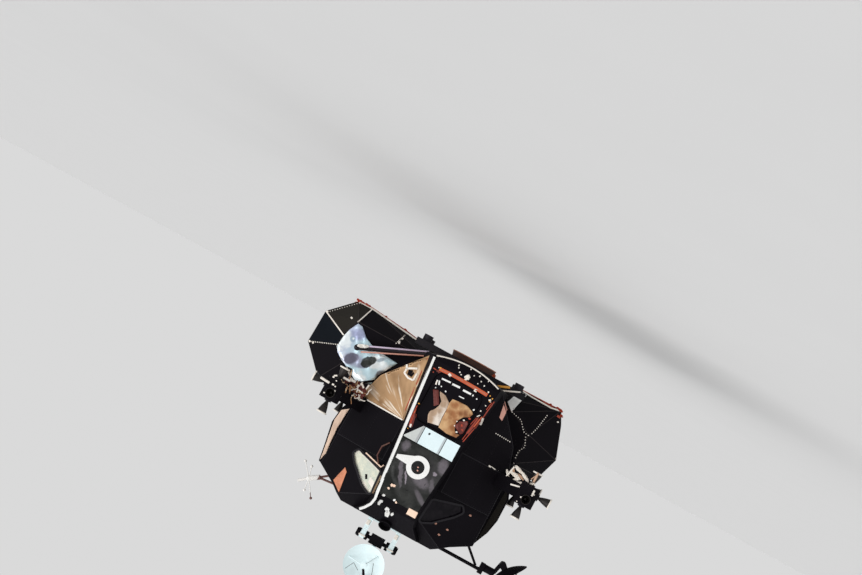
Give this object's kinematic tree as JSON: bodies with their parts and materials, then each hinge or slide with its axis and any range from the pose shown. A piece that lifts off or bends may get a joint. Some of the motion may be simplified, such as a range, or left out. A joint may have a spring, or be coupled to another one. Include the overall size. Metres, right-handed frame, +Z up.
{
  "type": "lunar module ascent stage",
  "caption": "Faceted two-crew lunar ascent vehicle with tank pods, thruster quads, front hatch, docking port and two steered dish antennas.",
  "frame": {"origin": "centre of the plane through the four interstage fittings, under the cabin", "axes": "+Z up through the docking port, -Y to the front (hatch and windows), +X to the crew's left"},
  "size_m": [4.7552, 4.1961, 3.9497],
  "materials": {
    "dark_shield": "black-painted alloy sheet, satin",
    "amber_foil": "crinkled amber film blanket",
    "silver_foil": "crinkled silver film blanket",
    "white_paint": "white thermal paint",
    "antenna_white": "white thermal paint, semi-gloss",
    "bare_alloy": "machined alloy",
    "thruster_metal": "silicide-coated refractory metal",
    "nozzle_liner": "red-brown ablative wrap",
    "orange_trim": "orange film strip",
    "tan_trim": "tan insulating trim",
    "window_glass": "clear coated pane",
    "lamp_glass": "dark lamp dome",
    "panel_grey": "grey cockpit panel"
  },
  "bodies": {
    "ascent_stage": {"cabin_roof": "dark_shield", "cabin_front_wall": "dark_shield", "cabin_cheek_left": "dark_shield", "cabin_cheek_right": "dark_shield", "cabin_skirt_left": "amber_foil", "cabin_skirt_right": "dark_shield", "cabin_floor": "panel_grey", "instrument_panel": "panel_grey", "window_left": "window_glass", "window_right": "window_glass", "window_top": "window_glass", "window_frames": "tan_trim", "window_shade": "white_paint", "nose": "dark_shield", "nose_panels": "white_paint", "tracking_light": "white_paint", "tracking_lens": "lamp_glass", "handrail": "bare_alloy", "telescope_shade": "dark_shield", "midsection": "dark_shield", "docking_ring": "bare_alloy", "docking_tunnel": "bare_alloy", "drogue": "bare_alloy", "docking_target": "white_paint", "ascent_engine": "bare_alloy", "engine_nozzle": "nozzle_liner", "aft_neck": "dark_shield", "aft_equipment_bay": "dark_shield", "aft_panels": "silver_foil", "fuel_tank_pod": "silver_foil", "oxidizer_tank_pod": "dark_shield", "base_heat_shield": "bare_alloy", "interstage_fittings": "bare_alloy", "tank_strut": "bare_alloy", "outriggers": "dark_shield", "thruster_housings": "dark_shield", "thruster_bells": "thruster_metal", "radar_stand": "antenna_white", "steerable_boom": "dark_shield", "mast_antenna": "antenna_white"},
    "hatch": {"front_hatch": "amber_foil"},
    "radar_head": {"radar_block": "dark_shield"},
    "radar_reflector": {"radar_dish": "antenna_white"},
    "antenna_arm": {"steerable_arm": "dark_shield"},
    "antenna_reflector": {"steerable_dish": "antenna_white"}
  },
  "joints": [
    {"name": "hatch_hinge", "type": "hinge", "parent": "ascent_stage", "child": "hatch", "pos_m": [-0.38608, -1.82118, 0.8382], "axis": [0, 0, 1], "range_deg": [0, 90]},
    {"name": "radar_shaft", "type": "hinge", "parent": "ascent_stage", "child": "radar_head", "pos_m": [0, -1.016, 3.2131], "axis": [1, 0, 0], "range_deg": [-70, 60]},
    {"name": "radar_trunnion", "type": "hinge", "parent": "radar_head", "child": "radar_reflector", "pos_m": [0, -1.016, 3.61442], "axis": [0, 0, 1], "range_deg": [-55, 55]},
    {"name": "steerable_pitch", "type": "hinge", "parent": "ascent_stage", "child": "antenna_arm", "pos_m": [-1.778, -0.5588, 2.8067], "axis": [1, 0, 0], "range_deg": [-165, 165]},
    {"name": "steerable_yaw", "type": "hinge", "parent": "antenna_arm", "child": "antenna_reflector", "pos_m": [-1.905, -0.9906, 2.6035], "axis": [0, 1, 0], "range_deg": [-22, 128]}
  ]
}
